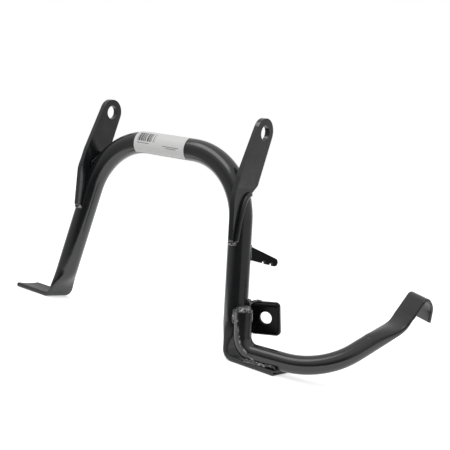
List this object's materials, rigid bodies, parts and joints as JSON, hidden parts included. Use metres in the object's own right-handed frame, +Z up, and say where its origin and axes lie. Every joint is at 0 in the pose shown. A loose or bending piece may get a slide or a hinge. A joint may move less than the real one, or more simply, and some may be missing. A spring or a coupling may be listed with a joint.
{
  "type": "motorcycle centre stand",
  "caption": "Bent steel tube centre stand that lifts a light motorcycle or scooter: pivot ears on top, flattened feet, a foot lever to tread on and an arm for the return springs.",
  "frame": {"origin": "middle of the pivot axis, halfway between the two ears", "axes": "+X along the pivot axis to the bike's left, where the lever is; +Y to the bike's rear; +Z up, with the U upright and both feet flat on the ground"},
  "size_m": [0.5289, 0.1247, 0.2693],
  "materials": {
    "black_paint": "satin black over steel and over the weld beads",
    "label_film": "off-white matt film"
  },
  "bodies": {
    "root": {"arm_inner_weld": "black_paint", "arm_outer_weld": "black_paint", "bracket_inner_weld": "black_paint", "bracket_outer_weld": "black_paint", "buffer_bracket": "black_paint", "ear_left": "black_paint", "ear_left_end_weld": "black_paint", "ear_left_front_weld": "black_paint", "ear_left_rear_weld": "black_paint", "ear_right": "black_paint", "ear_right_end_weld": "black_paint", "ear_right_front_weld": "black_paint", "ear_right_rear_weld": "black_paint", "foot_front_weld": "black_paint", "foot_lever": "black_paint", "foot_rear_weld": "black_paint", "label": "label_film", "lever_cap_weld": "black_paint", "lever_front_weld": "black_paint", "lever_rear_weld": "black_paint", "main_tube": "black_paint", "spring_arm": "black_paint"}
  },
  "joints": []
}
